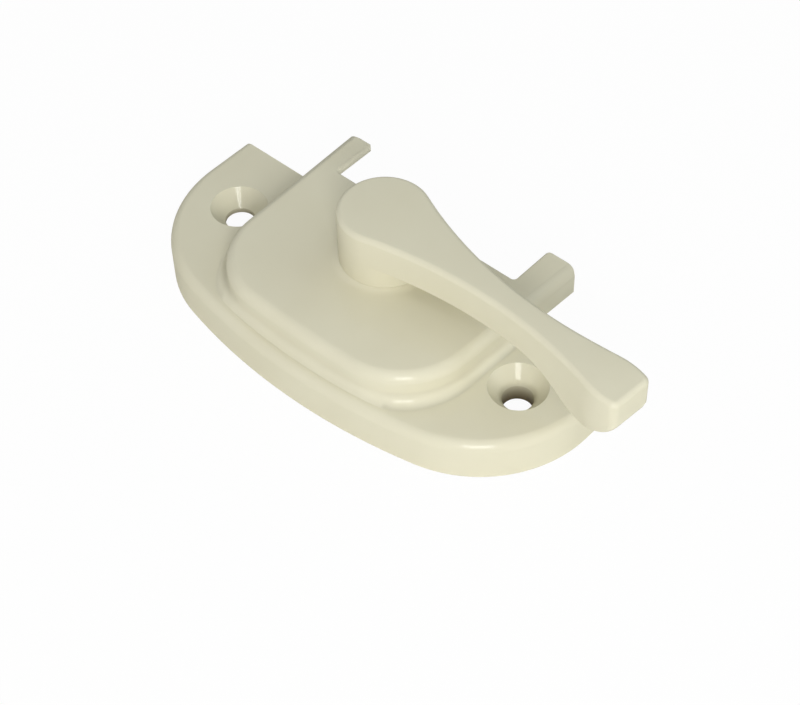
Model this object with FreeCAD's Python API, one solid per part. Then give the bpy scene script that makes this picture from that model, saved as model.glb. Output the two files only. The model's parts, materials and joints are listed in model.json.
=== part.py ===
import FreeCAD, Part
import math
import os

# Cam lock for a sliding window. Sizes are in millimetres.
# The origin lies midway between the two screw holes, on the mounting face.
# +X runs along the hole line, +Y points to the keeper and +Z away from the window frame.

# Screw holes
hole_spacing = 57.15
screw_hole_d = 4.76
countersink_d = 9.1
countersink_depth = 2.8
right_boss_height = 5.58
left_boss_height = 3.6
boss_wall = 1.5

# Base plate
base_length = 77.5
base_front = 19.23
base_back = 11.6
base_height = 6.95
base_corner_r = 20.5
base_bow_r = 100.0
base_edge_r = 1.7

# Raised cover, measured at its foot
cover_width = 44.2
cover_front = 16.5
cover_back = 12.3
cover_rise = 5.3
cover_corner_r = 12.6
cover_bow_r = 200.0
cover_taper_deg = 2.2
cover_edge_r = 1.9
cover_foot = 0.72

# Alignment lugs
lug_gap = 35.8
lug_gap_centre = -0.4
lug_reach = 8.1
lug_height = 5.2
lug_root_r = 0.7
lug_edge = 0.55

# Casting
wall = 1.2
rib_thickness = 1.6

# Bearing of the lever
axis_y = 3.2
journal_d = 7.9
running_clearance = 0.05
collar_rise = 0.6
collar_flare = 0.5
end_play = 0.08
bearing_boss_d = 12.6
bearing_boss_drop = 2.8

# Lever handle
rest_angle_deg = -4.75
hub_d = 14.2
lever_length = 49.0
lever_rise = 15.5
arm_depth = 6.05
waist_width = 4.2
waist_at = 28.0
grip_drop = 3.4
grip_lowest_at = 41.8
grip_belly_r = 8.5
grip_blend_r = 20.0
tip_droop = 0.6
tip_droop_from = 38.0
tip_from = 43.2
tip_side_r = 13.0
tip_corner_r = 1.3
lever_edge_r = 0.9
grip_lower_edge = 0.5

# Shaft under the hub
square_drive = 5.4
drive_clearance = 0.05
tenon_d = 4.6
head_d = 6.8
head_height = 1.2

# Retaining washer
washer_clearance = 0.05
retaining_washer_d = 9.6
retaining_washer_thickness = 0.8

# Locking cam, with its angles as they stand when the window is locked
turn_deg = 170.0
cam_hub_d = 10.4
cam_hub_height = 5.4
flat_distance = 4.6
hook_thickness = 2.6
hook_outer_r = 15.8
hook_lead_inner_r = 12.8
hook_trail_inner_r = 10.8
hook_lead_deg = 38.0
hook_web_width = 5.0
hook_corner_r = 1.6
cam_slot_clearance = 0.6

# Detent spring, its pegs and the stops
spring_thickness = 0.5
spring_height = 2.2
spring_clearance = 0.03
hook_headroom = 0.4
peg_d = 2.4
peg_spacing = 22.0
curl_deg = 200.0
stop_gap = 0.3

# Heights and places that follow from the sizes above
cover_top = base_height + cover_rise
lug_end = cover_back + lug_reach
lug_underside = cover_top - lug_height
roof = cover_top - wall
base_ceiling = base_height - wall
bore_d = journal_d + 2 * running_clearance
hub_bottom = cover_top + collar_rise + end_play
lever_top = base_height + lever_rise
arm_underside = lever_top - arm_depth
bearing_bottom = roof - bearing_boss_drop
cam_top = bearing_bottom - end_play
cam_bottom = cam_top - cam_hub_height
hook_top = cam_bottom + hook_thickness
spring_bottom = hook_top + hook_headroom
spring_face_y = axis_y - flat_distance - spring_clearance
curl_inner_r = peg_d / 2 + running_clearance
peg_x = peg_spacing / 2
peg_y = spring_face_y - spring_thickness - curl_inner_r
base_plan = (base_length / 2, base_front, base_corner_r, base_bow_r, 0.0)
cover_plan = (cover_width / 2, cover_front, cover_corner_r, cover_bow_r, cover_taper_deg)
axis_place = FreeCAD.Vector(0, axis_y, 0)
up = FreeCAD.Vector(0, 0, 1)

# How far cutting tools run past what they cut, and how closely edges are told apart
past = 1.0
near = 0.01


def vec(x, y, z=0.0):
    return FreeCAD.Vector(x, y, z)


def polar(radius, angle_deg, z=0.0):
    """Point at a radius and angle round the local origin."""
    angle = math.radians(angle_deg)
    return vec(radius * math.cos(angle), radius * math.sin(angle), z)


def line(start, end):
    return Part.LineSegment(start, end).toShape()


def arc(start, middle, end):
    return Part.Arc(start, middle, end).toShape()


def prism(edges, bottom, top):
    """Upright solid over a closed chain of edges drawn at height zero."""
    face = Part.Face(Part.Wire(Part.__sortEdges__(edges)))
    face.translate(vec(0, 0, bottom))
    return face.extrude(vec(0, 0, top - bottom))


def cylinder(diameter, bottom, top, x=0.0, y=0.0):
    return Part.makeCylinder(diameter / 2, top - bottom, vec(x, y, bottom), up)


def box(x0, x1, y0, y1, z0, z1):
    return Part.makeBox(x1 - x0, y1 - y0, z1 - z0, vec(x0, y0, z0))


def clean(shape):
    """The single solid of a boolean result, with its split faces joined."""
    return shape.removeSplitter().Solids[0]


def fillet_where(solid, radius, test):
    """Round every edge that the test picks."""
    edges = [edge for edge in solid.Edges if test(edge)]
    return solid.makeFillet(radius, edges)


def d_outline(plan, inset, back, z):
    """D-shaped wire: straight back, tapered sides, round corners and a bowed front, set in evenly."""
    half_width, front, corner_r, bow_r, taper_deg = plan
    taper = math.radians(taper_deg)
    corner_x = half_width - corner_r
    bow_y = bow_r - front
    corner_y = bow_y - math.sqrt((bow_r - corner_r) ** 2 - corner_x ** 2)
    radius = corner_r - inset
    bow_angle = math.atan2(corner_y - bow_y, corner_x)
    middle_angle = (bow_angle - taper) / 2

    def on_corner(angle):
        return vec(corner_x + radius * math.cos(angle), corner_y + radius * math.sin(angle), z)

    side = on_corner(-taper)
    side_end = vec(side.x + (back - side.y) * math.tan(taper), back, z)
    half = [side_end, side, on_corner(middle_angle), on_corner(bow_angle)]
    other = [vec(-point.x, point.y, z) for point in half]
    return Part.Wire([
        line(other[0], half[0]),
        line(half[0], half[1]),
        arc(half[1], half[2], half[3]),
        arc(half[3], vec(0, inset - front, z), other[3]),
        arc(other[3], other[2], other[1]),
        line(other[1], other[0]),
    ])


def d_block(plan, inset, back, bottom, top):
    """D-shaped block; the inset moves its curved and side walls in evenly."""
    return Part.Face(d_outline(plan, inset, back, bottom)).extrude(vec(0, 0, top - bottom))


def base_block():
    """Base plate with its front and end edges rounded."""
    block = d_block(base_plan, 0, base_back, 0, base_height)

    def rim(edge):
        limits = edge.BoundBox
        return limits.ZMin > base_height - near and limits.YMin < base_back - near

    return fillet_where(block, base_edge_r, rim)


def cover_block():
    """Raised cover that runs on into the two alignment lugs."""
    block = d_block(cover_plan, 0, lug_end, 0, cover_top)

    def rim(edge):
        limits = edge.BoundBox
        return limits.ZMin > cover_top - near and limits.YMin < lug_end - near

    block = fillet_where(block, cover_edge_r, rim)
    gap_sides = (lug_gap_centre - lug_gap / 2, lug_gap_centre + lug_gap / 2)
    behind = lug_end + past
    block = block.cut(box(gap_sides[0], gap_sides[1], cover_back, behind, -past, cover_top + past))
    block = clean(block.cut(box(-base_length, base_length, cover_back, behind, -past, lug_underside)))

    def root(edge):
        limits = edge.BoundBox
        upright = limits.ZLength > lug_height / 2 and limits.YLength < near
        at_gap = min(abs(limits.XMin - side) for side in gap_sides) < near
        return upright and at_gap and abs(limits.YMax - cover_back) < near

    return fillet_where(block, lug_root_r, root)


def break_lug_edges(block):
    """Break the edges of the lug ends and of the gap between the lugs."""

    def exposed(edge):
        limits = edge.BoundBox
        at_end = limits.YMin > lug_end - near and limits.ZMax > lug_underside + near
        on_top = limits.ZMin > cover_top - near and limits.YMin > cover_back - near
        in_gap = abs(edge.CenterOfMass.x - lug_gap_centre) < lug_gap / 2 + near
        return at_end or (on_top and in_gap)

    return block.makeChamfer(lug_edge, [edge for edge in block.Edges if exposed(edge)])


def housing_skin():
    """Outside of the casting: base, cover and lugs, with a small bevel at the foot of the cover."""
    skin = clean(base_block().fuse(break_lug_edges(cover_block())))
    reach = cover_width / 2 + past

    def foot(edge):
        limits = edge.BoundBox
        level = limits.ZLength < near and abs(limits.ZMin - base_height) < near
        return level and limits.XMin > -reach and limits.XMax < reach and limits.YMin < base_back - past

    return skin.makeChamfer(cover_foot, [edge for edge in skin.Edges if foot(edge)])


def housing_hollow():
    """Room inside the casting, one wall inside the skin, open below and open at the back for the cam."""
    back = base_back - wall
    under_cover = d_block(cover_plan, wall, lug_end + past, -past, roof)
    under_cover = under_cover.cut(box(-base_length, base_length, back, cover_back, -past, cover_top))
    under_base = d_block(base_plan, wall, back, -past, base_ceiling)
    half_slot = hook_outer_r + cam_slot_clearance
    cam_slot = box(-half_slot, half_slot, back - past, base_back + past, -past, roof)
    return under_cover.fuse(under_base).fuse(cam_slot)


def screw_bosses():
    """Columns round the screw holes, each with a rib to the end of the base."""
    boss_d = countersink_d + 2 * boss_wall
    half_rib = rib_thickness / 2
    rib_top = base_ceiling + wall / 4
    bosses = []
    for side, height in ((-1, left_boss_height), (1, right_boss_height)):
        x = side * hole_spacing / 2
        bottom = base_height - height
        bosses.append(cylinder(boss_d, bottom, base_height - wall / 2, x))
        rib_ends = sorted((x, side * (base_length / 2 - wall)))
        bosses.append(box(rib_ends[0], rib_ends[1], -half_rib, half_rib, bottom, rib_top))
    return bosses


def screw_holes():
    """Countersunk holes, right through."""
    widening = (countersink_d - screw_hole_d) / 2 / countersink_depth
    holes = []
    for side in (-1, 1):
        x = side * hole_spacing / 2
        holes.append(cylinder(screw_hole_d, -past, base_height + past, x))
        sink_floor = vec(x, 0, base_height - countersink_depth)
        mouth_r = countersink_d / 2 + past * widening
        holes.append(Part.makeCone(screw_hole_d / 2, mouth_r, countersink_depth + past, sink_floor, up))
    return holes


def rest_stop_angle():
    """Angle of the right-hand spring peg round the lever's axis, in degrees."""
    return math.degrees(math.atan2(peg_y - axis_y, peg_x))


def lock_stop_place():
    """Centre of the peg that the nose of the hook meets when the window is locked."""
    nose_r = (hook_outer_r - hook_lead_inner_r) / 2
    nose_place_r = hook_outer_r - nose_r
    between = math.degrees(2 * math.asin((nose_r + stop_gap + peg_d / 2) / 2 / nose_place_r))
    return polar(nose_place_r, hook_lead_deg - between) + axis_place


def roof_pegs():
    """Two pegs for the spring and one stop; the right-hand spring peg also stops the open cam."""
    top = roof + wall / 2
    stop_end = cam_bottom + hook_thickness / 4
    stop = lock_stop_place()
    return [
        cylinder(peg_d, spring_bottom, top, -peg_x, peg_y),
        cylinder(peg_d, stop_end, top, peg_x, peg_y),
        cylinder(peg_d, stop_end, top, stop.x, stop.y),
    ]


def hub_collar():
    """Low ring that the hub of the lever turns on, flared at its foot."""
    hub_r = hub_d / 2
    ring = cylinder(hub_d, cover_top - wall / 2, cover_top + collar_rise, 0, axis_y)
    foot = vec(0, axis_y, cover_top)
    return ring.fuse(Part.makeCone(hub_r + collar_flare, hub_r, collar_flare, foot, up))


def make_housing():
    """One casting: skin, hollow, bosses, bearing, collar and pegs."""
    collar_top = cover_top + collar_rise
    body = housing_skin().cut(housing_hollow())
    added = screw_bosses() + roof_pegs()
    added.append(cylinder(bearing_boss_d, bearing_bottom, cover_top - wall / 2, 0, axis_y))
    added.append(hub_collar())
    body = body.multiFuse(added)
    holes = screw_holes()
    holes.append(cylinder(bore_d, bearing_bottom - past, collar_top + past, 0, axis_y))
    for hole in holes:
        body = body.cut(hole)
    return clean(body)


def lever_plan():
    """Round hub, two hollow flanks that leave it smoothly, and a tip with bowed sides, seen from above."""
    hub_r = hub_d / 2
    half_waist = waist_width / 2
    flank_r = (waist_at ** 2 + half_waist ** 2 - hub_r ** 2) / (hub_d - waist_width)
    flank_y = half_waist + flank_r
    leave_deg = math.degrees(math.atan2(flank_y, waist_at))
    flare = math.asin((tip_from - waist_at) / flank_r)
    tip_start = vec(tip_from, flank_y - flank_r * math.cos(flare))
    bow_x = tip_from + tip_side_r * math.sin(flare)
    bow_y = tip_start.y - tip_side_r * math.cos(flare)

    def bowed_side(s):
        return vec(s, bow_y + math.sqrt(tip_side_r ** 2 - (s - bow_x) ** 2))

    left = [
        polar(hub_r, leave_deg),
        vec(waist_at, half_waist),
        tip_start,
        bowed_side((tip_from + lever_length) / 2),
        bowed_side(lever_length),
    ]
    right = [vec(point.x, -point.y) for point in left]
    edges = [arc(left[0], vec(-hub_r, 0), right[0]), line(right[4], left[4])]
    for side in (left, right):
        edges.append(arc(side[0], side[1], side[2]))
        edges.append(arc(side[2], side[3], side[4]))
    block = prism(edges, hub_bottom, lever_top + past)

    def tip_corner(edge):
        limits = edge.BoundBox
        return limits.ZLength > arm_depth and limits.XMin > lever_length - near

    return fillet_where(block, tip_corner_r, tip_corner)


def lever_side():
    """Flat arm with a drooping tip and a belly under the grip, seen from the side."""
    end = lever_length + past
    droop_r = ((lever_length - tip_droop_from) ** 2 + tip_droop ** 2) / (2 * tip_droop)
    belly_z = arm_underside - grip_drop + grip_belly_r
    blend_z = arm_underside - grip_blend_r
    reach = grip_belly_r + grip_blend_r
    blend_at = grip_lowest_at - math.sqrt(reach ** 2 - (belly_z - blend_z) ** 2)
    share = grip_blend_r / reach

    def droop(s):
        return vec(s, 0, lever_top - droop_r + math.sqrt(droop_r ** 2 - (s - tip_droop_from) ** 2))

    def belly(s):
        return vec(s, 0, belly_z - math.sqrt(grip_belly_r ** 2 - (s - grip_lowest_at) ** 2))

    def blend(s):
        return vec(s, 0, blend_z + math.sqrt(grip_blend_r ** 2 - (s - blend_at) ** 2))

    meet_at = blend_at + share * (grip_lowest_at - blend_at)
    edges = [
        line(vec(0, 0, lever_top), droop(tip_droop_from)),
        arc(droop(tip_droop_from), droop((tip_droop_from + end) / 2), droop(end)),
        line(droop(end), belly(end)),
        arc(belly(end), belly(grip_lowest_at), belly(meet_at)),
        arc(belly(meet_at), blend((meet_at + blend_at) / 2), blend(blend_at)),
        line(blend(blend_at), vec(0, 0, arm_underside)),
        line(vec(0, 0, arm_underside), vec(0, 0, lever_top)),
    ]
    face = Part.Face(Part.Wire(edges))
    face.translate(vec(0, -hub_d, 0))
    return face.extrude(vec(0, 2 * hub_d, 0))


def lever_grip():
    """Hub and arm of the lever along the local X axis, with rounded edges."""
    arm = lever_plan().common(lever_side())
    body = clean(cylinder(hub_d, hub_bottom, lever_top).fuse(arm))

    def crosswise(edge):
        limits = edge.BoundBox
        return limits.XLength < near and limits.XMax < lever_length - near

    def top_rim(edge):
        limits = edge.BoundBox
        return limits.ZMin > lever_top - 2 * tip_droop and not crosswise(edge)

    def lower_rim(edge):
        limits = edge.BoundBox
        below = limits.ZMax < lever_top - 2 * lever_edge_r and limits.XMin > hub_d / 2
        return below and not crosswise(edge) and limits.ZLength < grip_drop + near

    body = fillet_where(body, lever_edge_r, top_rim)
    return body.makeChamfer(grip_lower_edge, [edge for edge in body.Edges if lower_rim(edge)])


def lever_shaft():
    """Round journal, square drive, tenon and peened head, one below the other."""
    half = square_drive / 2
    head_top = cam_bottom - retaining_washer_thickness
    return [
        cylinder(journal_d, cam_top, hub_bottom + past),
        box(-half, half, -half, half, cam_bottom, cam_top + past),
        cylinder(tenon_d, head_top - head_height / 2, cam_bottom + past),
        cylinder(head_d, head_top - head_height, head_top),
    ]


def make_lever_handle():
    """Grip turned to its rest angle, with the shaft in one piece with it."""
    grip = lever_grip()
    grip.rotate(vec(0, 0), up, rest_angle_deg)
    lever = grip.multiFuse(lever_shaft())
    lever.translate(axis_place)
    return clean(lever)


def hook_outline():
    """Hook in its locked place: round outside, nose, inner face that draws in, web to the hub."""
    trail_rest = rest_stop_angle() - math.degrees(
        math.asin((peg_d / 2 + stop_gap) / math.hypot(peg_x, peg_y - axis_y)))
    trail_deg = trail_rest + 360 - turn_deg
    lead_deg = hook_lead_deg
    inner_r = (hook_lead_inner_r + hook_trail_inner_r) / 2
    web_deg = trail_deg - math.degrees(math.asin(hook_web_width / hook_trail_inner_r))
    nose_r = (hook_outer_r - hook_lead_inner_r) / 2
    nose = polar(hook_outer_r - nose_r, lead_deg) + polar(nose_r, lead_deg - 90)
    along_web = math.sqrt(hook_trail_inner_r ** 2 - hook_web_width ** 2)
    root = polar(hook_trail_inner_r, web_deg) - polar(along_web, trail_deg)
    outer_end = polar(hook_outer_r, trail_deg)
    inner_end = polar(hook_trail_inner_r, web_deg)
    return [
        arc(polar(hook_outer_r, lead_deg), polar(hook_outer_r, (lead_deg + trail_deg) / 2), outer_end),
        line(outer_end, vec(0, 0)),
        line(vec(0, 0), root),
        line(root, inner_end),
        arc(inner_end, polar(inner_r, (lead_deg + web_deg) / 2), polar(hook_lead_inner_r, lead_deg)),
        arc(polar(hook_lead_inner_r, lead_deg), nose, polar(hook_outer_r, lead_deg)),
    ]


def make_locking_cam():
    """Hook and hub, with two flats for the spring and a square hole for the shaft."""
    hook = prism(hook_outline(), cam_bottom, hook_top)

    def inner_corner(edge):
        limits = edge.BoundBox
        middle = edge.CenterOfMass
        upright = limits.ZLength > hook_thickness / 2
        return upright and abs(math.hypot(middle.x, middle.y) - hook_trail_inner_r) < near

    hook = fillet_where(hook, hook_corner_r, inner_corner)
    cam = hook.fuse(cylinder(cam_hub_d, cam_bottom, cam_top))
    for normal_deg in (-90, -90 - turn_deg):
        flat = box(flat_distance, cam_hub_d, -cam_hub_d, cam_hub_d, hook_top, cam_top + past)
        flat.rotate(vec(0, 0), up, normal_deg)
        cam = cam.cut(flat)
    cam.rotate(vec(0, 0), up, turn_deg)
    half = square_drive / 2 + drive_clearance
    cam = clean(cam.cut(box(-half, half, -half, half, cam_bottom - past, cam_top + past)))
    cam.translate(axis_place)
    return cam


def make_detent_spring():
    """Straight leaf with a curl round a peg at each end."""
    curl_outer_r = curl_inner_r + spring_thickness
    back_y = spring_face_y - spring_thickness

    def curl(side, radius, turned):
        angle = math.radians(90 - turned)
        return vec(side * (peg_x + radius * math.cos(angle)), peg_y + radius * math.sin(angle))

    edges = [
        line(vec(-peg_x, spring_face_y), vec(peg_x, spring_face_y)),
        line(vec(-peg_x, back_y), vec(peg_x, back_y)),
    ]
    for side in (-1, 1):
        for radius in (curl_inner_r, curl_outer_r):
            halfway = curl(side, radius, curl_deg / 2)
            edges.append(arc(curl(side, radius, 0), halfway, curl(side, radius, curl_deg)))
        edges.append(line(curl(side, curl_inner_r, curl_deg), curl(side, curl_outer_r, curl_deg)))
    return prism(edges, spring_bottom, spring_bottom + spring_height)


def make_retaining_washer():
    """Flat washer between the cam and the peened head."""
    bottom = cam_bottom - retaining_washer_thickness
    washer = cylinder(retaining_washer_d, bottom, cam_bottom)
    washer = washer.cut(cylinder(tenon_d + 2 * washer_clearance, bottom - past, cam_bottom + past))
    washer.translate(axis_place)
    return clean(washer)


def main():
    os.makedirs("parts", exist_ok=True)
    pieces = {
        "housing": make_housing(),
        "lever_handle": make_lever_handle(),
        "locking_cam": make_locking_cam(),
        "detent_spring": make_detent_spring(),
        "retaining_washer": make_retaining_washer(),
    }
    for name, solid in pieces.items():
        solid.exportStep("parts/" + name + ".step")
        print(name, "valid", solid.isValid(), "volume", round(solid.Volume, 1))


main()
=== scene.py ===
import json
import math
import bmesh
import bpy
from mathutils import Matrix, Vector
from mathutils.geometry import intersect_point_line

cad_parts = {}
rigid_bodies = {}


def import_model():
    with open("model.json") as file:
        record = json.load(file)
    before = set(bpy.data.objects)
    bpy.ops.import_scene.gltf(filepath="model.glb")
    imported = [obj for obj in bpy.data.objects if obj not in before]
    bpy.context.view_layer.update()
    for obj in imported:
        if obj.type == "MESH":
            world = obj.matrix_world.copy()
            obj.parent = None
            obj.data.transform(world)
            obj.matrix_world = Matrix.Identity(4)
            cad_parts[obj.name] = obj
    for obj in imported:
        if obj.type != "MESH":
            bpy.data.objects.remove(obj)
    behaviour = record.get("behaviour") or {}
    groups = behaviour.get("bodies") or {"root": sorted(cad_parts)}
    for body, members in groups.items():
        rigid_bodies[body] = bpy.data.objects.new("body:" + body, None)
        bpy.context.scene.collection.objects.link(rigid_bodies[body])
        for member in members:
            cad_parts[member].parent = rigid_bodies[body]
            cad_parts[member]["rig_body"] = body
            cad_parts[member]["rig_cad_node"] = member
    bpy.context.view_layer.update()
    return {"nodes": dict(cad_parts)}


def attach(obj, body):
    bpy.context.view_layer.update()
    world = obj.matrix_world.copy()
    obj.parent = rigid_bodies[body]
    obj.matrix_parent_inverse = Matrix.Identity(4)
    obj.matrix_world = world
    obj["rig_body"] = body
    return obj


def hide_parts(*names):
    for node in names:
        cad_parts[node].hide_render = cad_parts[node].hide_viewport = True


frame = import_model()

MM = 0.001

# Places on the lock
BASE_TOP = 6.95 * MM
BASE_BACK = 11.6 * MM
COVER_TOP = 12.25 * MM
HUB_AXIS = Vector((0, 3.2 * MM))
COLLAR_REACH = 8 * MM
SCREW_FROM_MIDDLE = 28.575 * MM
SCREW_HOLE_RADIUS = 2.41 * MM
# Painted shade on the screw holes' walls: none above the first height, darkest at the second
HOLE_SHADE_FROM = 5.0 * MM
HOLE_SHADE_DARKEST_AT = 1.6 * MM

# How faces are told apart: by the upward share of their normal, and by size
LEVEL_FROM = 0.99
FLAT_FROM = 0.9995
SLOPED_FROM = 0.4
SLOPED_TO = 0.95
UPRIGHT_TO = 0.02
THIN_EDGE = 1.2 * MM
NARROW_STRIP = 0.3 * MM

# How the cast skins are made
SMOOTH_UP_TO = math.radians(50)
MERGE_WITHIN = 0.001 * MM
TOUCH = 0.01 * MM
SHARE_OF_ROOM = 0.8

# Floor and lamps
FLOOR_SIZE = 3.0
FLOOR_DROP = 0.05 * MM
FLOOR_WHITENESS = 0.96
ROOM_LIGHT = 0.256
LAMP_DISTANCE = 0.5
NEUTRAL = (1.0, 1.0, 0.98)
WARM = (1.0, 0.93, 0.80)
COOL = (0.92, 0.99, 1.0)
# Each lamp's azimuth and elevation in degrees, width and height in metres, power in watts, and colour
LAMPS = {
    "near_camera": (43, 29, 0.16, 0.20, 1.08, NEUTRAL),
    "low_in_front": (43, 10, 0.30, 0.30, 0.24, NEUTRAL),
    "high_in_front": (43, 58, 0.40, 0.40, 0.46, NEUTRAL),
    "left_front": (-45, 25, 0.40, 0.40, 0.17, WARM),
    "left": (-90, 45, 0.50, 0.50, 0.22, COOL),
    "low_right": (85, 15, 0.30, 0.30, 0.13, WARM),
    "behind_right": (140, 35, 0.50, 0.50, 0.57, COOL),
    "overhead": (20, 85, 0.50, 0.50, 0.12, COOL),
}


def deselect_all():
    """Nothing stays selected."""
    bpy.ops.object.select_all(action="DESELECT")


def make_active(piece):
    """Only this piece is selected, and operators act on it."""
    deselect_all()
    piece.select_set(True)
    bpy.context.view_layer.objects.active = piece


def new_material(name):
    """Empty node material with its output and one Principled shader."""
    material = bpy.data.materials.new(name)
    material.use_nodes = True
    nodes = material.node_tree.nodes
    nodes.clear()
    output = nodes.new("ShaderNodeOutputMaterial")
    output.location = (600, 0)
    shader = nodes.new("ShaderNodeBsdfPrincipled")
    shader.location = (300, 0)
    material.node_tree.links.new(shader.outputs["BSDF"], output.inputs["Surface"])
    return material, nodes, material.node_tree.links, shader


def noise(nodes, links, scale, detail, place):
    """Noise over the piece's own coordinates."""
    coordinates = nodes.new("ShaderNodeTexCoord")
    coordinates.location = (place[0] - 200, place[1])
    texture = nodes.new("ShaderNodeTexNoise")
    texture.location = place
    texture.inputs["Scale"].default_value = scale
    texture.inputs["Detail"].default_value = detail
    links.new(coordinates.outputs["Object"], texture.inputs["Vector"])
    return texture


def ramp(nodes, links, source, stops, place):
    """Colour ramp fed by a texture's factor."""
    node = nodes.new("ShaderNodeValToRGB")
    node.location = place
    for element, (position, colour) in zip(node.color_ramp.elements, stops):
        element.position = position
        element.color = (*colour, 1)
    links.new(source, node.inputs["Fac"])
    return node


def calculate(nodes, links, operation, source, number=0.0):
    """Math node on a source, with a plain number as its second value."""
    node = nodes.new("ShaderNodeMath")
    node.operation = operation
    node.inputs[1].default_value = number
    links.new(source, node.inputs[0])
    return node.outputs["Value"]


def combine(nodes, links, operation, first, second):
    """Math node on two sources."""
    node = nodes.new("ShaderNodeMath")
    node.operation = operation
    links.new(first, node.inputs[0])
    links.new(second, node.inputs[1])
    return node.outputs["Value"]


def painted_hole_shade(nodes, links):
    """Painted shade mask: grows towards 1 down the walls of the two screw holes, where shade falls deep in
    them; 0 elsewhere.
    """
    coordinates = nodes.new("ShaderNodeTexCoord")
    split = nodes.new("ShaderNodeSeparateXYZ")
    links.new(coordinates.outputs["Object"], split.inputs["Vector"])
    sideways = calculate(nodes, links, "ABSOLUTE", split.outputs["X"])
    from_axis = nodes.new("ShaderNodeCombineXYZ")
    links.new(calculate(nodes, links, "SUBTRACT", sideways, SCREW_FROM_MIDDLE), from_axis.inputs["X"])
    links.new(split.outputs["Y"], from_axis.inputs["Y"])
    radius = nodes.new("ShaderNodeVectorMath")
    radius.operation = "LENGTH"
    links.new(from_axis.outputs["Vector"], radius.inputs[0])
    inside = calculate(nodes, links, "LESS_THAN", radius.outputs["Value"], SCREW_HOLE_RADIUS)
    depth = nodes.new("ShaderNodeMapRange")
    depth.inputs["From Min"].default_value = HOLE_SHADE_FROM
    depth.inputs["From Max"].default_value = HOLE_SHADE_DARKEST_AT
    links.new(split.outputs["Z"], depth.inputs["Value"])
    return combine(nodes, links, "MULTIPLY", inside, depth.outputs["Result"])


def almond_powder_coat():
    """Semi-gloss almond powder coat, faintly clouded, with a fine orange peel, and painted shade darkening
    down the walls of the screw holes.
    """
    material, nodes, links, shader = new_material("almond_powder_coat")
    cloud = noise(nodes, links, scale=90.0, detail=2.0, place=(-500, 200))
    stops = [(0.3, (0.700, 0.668, 0.515)), (0.7, (0.720, 0.690, 0.540))]
    tint = ramp(nodes, links, cloud.outputs["Fac"], stops, place=(-300, 200))
    # Painted shade: the screw holes' walls turn dark brown towards their bottoms, standing in for the shade
    # deep in them
    hole_shade = nodes.new("ShaderNodeMix")
    hole_shade.data_type = "RGBA"
    hole_shade.location = (0, 200)
    hole_shade.inputs["B"].default_value = (0.22, 0.165, 0.075, 1)
    links.new(painted_hole_shade(nodes, links), hole_shade.inputs["Factor"])
    links.new(tint.outputs["Color"], hole_shade.inputs["A"])
    links.new(hole_shade.outputs["Result"], shader.inputs["Base Color"])
    shader.inputs["Roughness"].default_value = 0.5
    shader.inputs["Specular IOR Level"].default_value = 0.0
    shader.inputs["Coat Weight"].default_value = 0.05
    shader.inputs["Coat IOR"].default_value = 4.0
    shader.inputs["Coat Roughness"].default_value = 0.08
    peel = noise(nodes, links, scale=900.0, detail=2.0, place=(-500, -300))
    bump = nodes.new("ShaderNodeBump")
    bump.location = (0, -300)
    bump.inputs["Strength"].default_value = 0.08
    bump.inputs["Distance"].default_value = 0.05 * MM
    links.new(peel.outputs["Fac"], bump.inputs["Height"])
    links.new(bump.outputs["Normal"], shader.inputs["Normal"])
    return material


def bare_metal(name, dark, light, roughness, grain):
    """Bare metal with a fine grain in its colour."""
    material, nodes, links, shader = new_material(name)
    texture = noise(nodes, links, scale=grain, detail=4.0, place=(-500, 200))
    tint = ramp(nodes, links, texture.outputs["Fac"], [(0.3, dark), (0.7, light)], place=(-300, 200))
    links.new(tint.outputs["Color"], shader.inputs["Base Color"])
    shader.inputs["Metallic"].default_value = 1.0
    shader.inputs["Roughness"].default_value = roughness
    return material


def cast_zinc():
    """Dull grey zinc of the cam, as it comes from the mould."""
    return bare_metal("cast_zinc", (0.32, 0.32, 0.33), (0.46, 0.46, 0.46), roughness=0.5, grain=700.0)


def spring_steel():
    """Dark bare steel of the leaf spring."""
    return bare_metal("spring_steel", (0.20, 0.20, 0.21), (0.28, 0.28, 0.29), roughness=0.3, grain=500.0)


def plated_steel():
    """Bright plated steel of the washer."""
    return bare_metal("plated_steel", (0.52, 0.52, 0.50), (0.62, 0.62, 0.60), roughness=0.3, grain=500.0)


def shading_rank(face):
    """How much a face leads the shading round it: flats and walls most, then slopes, then thin plate edges.

    A narrow strip of the base's top counts as a slope, so that the cove beside it flows on over the
    base's edge."""
    heights = [corner.co.z for corner in face.verts]
    width = 2 * face.calc_area() / max(edge.calc_length() for edge in face.edges)
    if face.normal.z > FLAT_FROM and width < NARROW_STRIP and abs(heights[0] - BASE_TOP) < TOUCH:
        return "MEDIUM"
    if abs(face.normal.z) > LEVEL_FROM:
        return "STRONG"
    if abs(face.normal.z) > UPRIGHT_TO:
        return "MEDIUM"
    return "STRONG" if max(heights) - min(heights) > THIN_EDGE else "WEAK"


def rank_faces():
    """In edit mode, set which faces lead the shading."""
    mesh = bmesh.from_edit_mesh(bpy.context.active_object.data)
    for rank in ("WEAK", "MEDIUM", "STRONG"):
        for face in mesh.faces:
            face.select_set(shading_rank(face) == rank)
        mesh.select_flush_mode()
        bmesh.update_edit_mesh(bpy.context.active_object.data)
        bpy.ops.mesh.mod_weighted_strength(set=True, face_strength=rank)


def flat_rims(mesh, height):
    """Edges that bound the level faces at a height."""
    rims = []
    for edge in mesh.edges:
        if all(abs(end.co.z - height) < TOUCH for end in edge.verts):
            level = [face.normal.z > FLAT_FROM for face in edge.link_faces]
            if any(level) and not all(level):
                rims.append(edge)
    return rims


def room_beside(place, rims):
    """Distance from a place to the nearest of the rims."""
    nearest = math.inf
    for edge in rims:
        start, end = edge.verts[0].co, edge.verts[1].co
        share = intersect_point_line(place, start, end)[1]
        foot = start.lerp(end, min(max(share, 0.0), 1.0))
        nearest = min(nearest, (foot - place).length)
    return nearest


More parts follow.
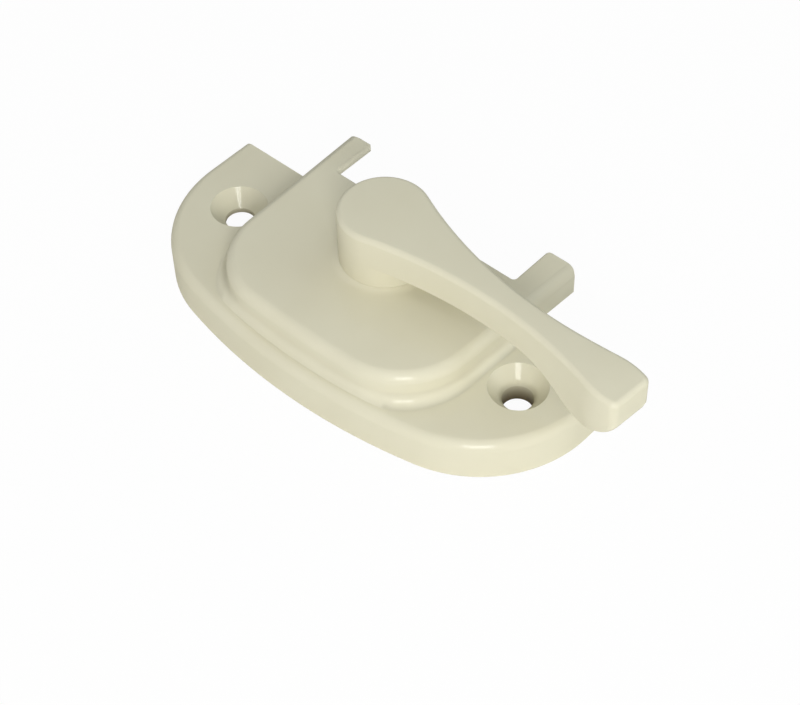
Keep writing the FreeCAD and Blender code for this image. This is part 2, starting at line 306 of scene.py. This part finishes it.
def widen_foot(height, from_hub, band, rise, spread, more_at_corners):
    """In edit mode, stretch the sloped band at the foot of a wall into a wider cove.

    The band stands on the level face at this height, is no higher than band and lies within from_hub of the
    hub's axis. Its upper edge goes up by rise. Its lower edge goes out over the level face by spread, and
    further round the corners, or by as much as there is room for. At the base's back it goes straight
    sideways, so that its end stays in the back face."""
    piece = bpy.context.active_object
    mesh = bmesh.from_edit_mesh(piece.data)
    outward = {}
    for face in mesh.faces:
        middle = face.calc_center_median()
        in_band = height < middle.z < height + band and (middle.xy - HUB_AXIS).length < from_hub
        if in_band and SLOPED_FROM < face.normal.z < SLOPED_TO:
            level = Vector((face.normal.x, face.normal.y, 0)).normalized()
            for corner in face.verts:
                outward[corner] = outward.get(corner, Vector()) + level
    rims = [edge for edge in flat_rims(mesh, height) if not any(end in outward for end in edge.verts)]
    moves = {}
    for corner, direction in outward.items():
        direction.normalize()
        if abs(corner.co.z - height) > TOUCH:
            moves[corner] = Vector((0, 0, rise))
        elif corner.co.y > BASE_BACK - TOUCH:
            moves[corner] = Vector((math.copysign(spread, direction.x), 0, 0))
        else:
            reach = spread + more_at_corners * abs(2 * direction.x * direction.y)
            moves[corner] = direction * min(reach, SHARE_OF_ROOM * room_beside(corner.co, rims))
    for corner, move in moves.items():
        corner.co += move
    bmesh.update_edit_mesh(piece.data)


def soften_housing():
    """Wide coves where the cover meets the base and where the collar under the hub meets the cover."""
    widen_foot(BASE_TOP, from_hub=math.inf, band=0.8 * MM,
               rise=1.2 * MM, spread=0.6 * MM, more_at_corners=0.6 * MM)
    widen_foot(COVER_TOP, from_hub=COLLAR_REACH, band=0.6 * MM,
               rise=0.05 * MM, spread=0.8 * MM, more_at_corners=0)


def skin_over(node, name, body, material, soften=None):
    """Smooth-shaded skin that stands for a cast node, made from a merged copy of it.

    The sharp edges are found before the foot of a wall is softened, so that the cove stays smooth."""
    make_active(frame["nodes"][node])
    bpy.ops.object.duplicate()
    skin = bpy.context.view_layer.objects.active
    skin.name = name
    # The copy isn't the node itself, so it loses the node's own marks
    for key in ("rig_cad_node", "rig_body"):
        if key in skin:
            del skin[key]
    bpy.ops.mesh.customdata_custom_splitnormals_clear()
    bpy.ops.object.mode_set(mode="EDIT")
    bpy.ops.mesh.select_all(action="SELECT")
    bpy.ops.mesh.remove_doubles(threshold=MERGE_WITHIN)
    bpy.ops.object.mode_set(mode="OBJECT")
    bpy.ops.object.shade_smooth_by_angle(angle=SMOOTH_UP_TO)
    bpy.ops.object.mode_set(mode="EDIT")
    bpy.ops.mesh.select_mode(type="FACE")
    if soften:
        soften()
    rank_faces()
    bpy.ops.object.mode_set(mode="OBJECT")
    weigh = skin.modifiers.new("flat faces lead", "WEIGHTED_NORMAL")
    weigh.mode = "CORNER_ANGLE"
    weigh.keep_sharp = True
    weigh.use_face_influence = True
    bpy.ops.object.modifier_apply(modifier=weigh.name)
    skin.data.materials.clear()
    skin.data.materials.append(material)
    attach(skin, body)
    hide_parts(node)


def dress(node, material):
    """Give a carried-over node its finish."""
    mesh = frame["nodes"][node].data
    mesh.materials.clear()
    mesh.materials.append(material)


def seen_directly(nodes, links):
    """1 for rays from the camera and for reflections and refractions, 0 for light on surfaces."""
    path = nodes.new("ShaderNodeLightPath")
    mirrored = combine(nodes, links, "MAXIMUM",
                       path.outputs["Is Glossy Ray"], path.outputs["Is Transmission Ray"])
    return combine(nodes, links, "MAXIMUM", path.outputs["Is Camera Ray"], mirrored)


def pale_floor():
    """Pale floor that is seen as white, apart from a faint shadow."""
    material = bpy.data.materials.new("pale_floor")
    material.use_nodes = True
    nodes = material.node_tree.nodes
    links = material.node_tree.links
    nodes.clear()
    output = nodes.new("ShaderNodeOutputMaterial")
    paint = nodes.new("ShaderNodeBsdfDiffuse")
    paint.inputs["Color"].default_value = (0.9, 0.9, 0.9, 1)
    glow = nodes.new("ShaderNodeEmission")
    glow.inputs["Color"].default_value = (1, 1, 1, 1)
    glow.inputs["Strength"].default_value = 1.0
    share = calculate(nodes, links, "MULTIPLY", seen_directly(nodes, links), FLOOR_WHITENESS)
    mix = nodes.new("ShaderNodeMixShader")
    links.new(share, mix.inputs["Fac"])
    links.new(paint.outputs["BSDF"], mix.inputs[1])
    links.new(glow.outputs["Emission"], mix.inputs[2])
    links.new(mix.outputs["Shader"], output.inputs["Surface"])
    return material


def lay_floor():
    """Floor just under the mounting rim, so that the two don't share a plane."""
    deselect_all()
    bpy.ops.mesh.primitive_plane_add(size=FLOOR_SIZE, location=(0, 0, -FLOOR_DROP))
    floor = bpy.context.active_object
    floor.name = "floor"
    floor.data.materials.append(pale_floor())


def white_room():
    """Even light from all round; the camera and reflections see white."""
    world = bpy.data.worlds.new("white_room")
    bpy.context.scene.world = world
    world.use_nodes = True
    nodes = world.node_tree.nodes
    links = world.node_tree.links
    nodes.clear()
    output = nodes.new("ShaderNodeOutputWorld")
    seen = nodes.new("ShaderNodeBackground")
    seen.inputs["Color"].default_value = (1, 1, 1, 1)
    seen.inputs["Strength"].default_value = 1.0
    lit = nodes.new("ShaderNodeBackground")
    lit.inputs["Color"].default_value = (1, 1, 1, 1)
    lit.inputs["Strength"].default_value = ROOM_LIGHT
    mix = nodes.new("ShaderNodeMixShader")
    links.new(seen_directly(nodes, links), mix.inputs["Fac"])
    links.new(lit.outputs["Background"], mix.inputs[1])
    links.new(seen.outputs["Background"], mix.inputs[2])
    links.new(mix.outputs["Shader"], output.inputs["Surface"])


def direction_to(azimuth, elevation):
    """Unit vector away from the lock; azimuth 0 is in front of it and 90 degrees on its right."""
    return Vector((math.sin(azimuth) * math.cos(elevation), -math.cos(azimuth) * math.cos(elevation),
                   math.sin(elevation)))


def softbox(name, azimuth, elevation, width, height, power, colour):
    """Flat lamp that faces the lock."""
    away = direction_to(math.radians(azimuth), math.radians(elevation))
    lamp = bpy.data.lights.new(name, "AREA")
    lamp.shape = "RECTANGLE"
    lamp.size = width
    lamp.size_y = height
    lamp.energy = power
    lamp.color = colour
    lamp_object = bpy.data.objects.new(name, lamp)
    lamp_object.location = away * LAMP_DISTANCE
    lamp_object.rotation_euler = away.to_track_quat("Z", "Y").to_euler()
    bpy.context.scene.collection.objects.link(lamp_object)


def photo_camera():
    """Camera where the photograph was taken from, placed from the middle of the base's top."""
    azimuth = math.radians(43.158)
    elevation = math.radians(48.545)
    roll = math.radians(-1.743)
    distance = 291.323 * MM
    across = 4.163 * MM
    lift = -9.104 * MM
    back = direction_to(azimuth, elevation)
    level = Vector((math.cos(azimuth), math.sin(azimuth), 0))
    upright = back.cross(level)
    right = math.cos(roll) * level + math.sin(roll) * upright
    top = -math.sin(roll) * level + math.cos(roll) * upright
    place = across * right + lift * top + distance * back + Vector((0, 0, BASE_TOP))
    data = bpy.data.cameras.new("photo_camera")
    data.sensor_width = 36.0
    data.lens = 86.594
    data.clip_start = 0.01
    data.clip_end = 20.0
    camera = bpy.data.objects.new("photo_camera", data)
    turn = Matrix((right, top, back)).transposed().to_4x4()
    camera.matrix_world = Matrix.Translation(place) @ turn
    bpy.context.scene.collection.objects.link(camera)
    bpy.context.scene.camera = camera


coat = almond_powder_coat()
skin_over("housing", "housing_skin", "casting", coat, soften_housing)
skin_over("lever_handle", "lever_skin", "lever", coat)
dress("locking_cam", cast_zinc())
dress("detent_spring", spring_steel())
dress("retaining_washer", plated_steel())

lay_floor()
white_room()
for lamp_name, settings in LAMPS.items():
    softbox(lamp_name, *settings)
photo_camera()
bpy.context.scene.view_settings.view_transform = "Standard"
